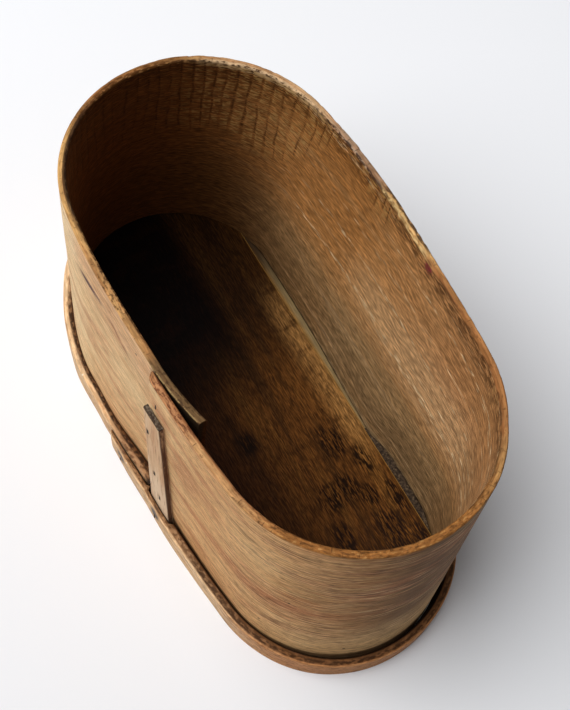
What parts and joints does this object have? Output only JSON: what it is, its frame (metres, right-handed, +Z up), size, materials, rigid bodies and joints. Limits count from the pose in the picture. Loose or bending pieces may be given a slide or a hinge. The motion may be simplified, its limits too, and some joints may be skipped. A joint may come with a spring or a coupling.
{
  "type": "wooden butter pot",
  "caption": "Open oval bentwood butter pot: a thin bent sheet lapped and nailed under a batten on its long side, with a flat board bottom and a narrow hoop round the foot.",
  "frame": {"origin": "middle of the underside of the bottom board, on the table", "axes": "+X along the pot's length, +Y away from the lap, +Z up to the open rim"},
  "size_m": [0.266, 0.1351, 0.132],
  "materials": {
    "wall_wood": "dry, worn, bare",
    "hoop_wood": "dry, worn, bare",
    "board_wood": "dark with old fat",
    "batten_wood": "dry, worn, bare",
    "shim_wood": "dry, grey",
    "peg_wood": "dry, bare",
    "iron": "rusted dark",
    "pitch": "dull, gritty"
  },
  "bodies": {
    "root": {"wall_band": "wall_wood", "foot_hoop": "hoop_wood", "bottom_board": "board_wood", "lock_batten": "batten_wood", "batten_nails": "iron", "lap_nail": "iron", "hoop_nails": "iron", "bottom_shim": "shim_wood", "seam_pitch": "pitch", "bottom_pegs": "peg_wood"}
  },
  "joints": []
}
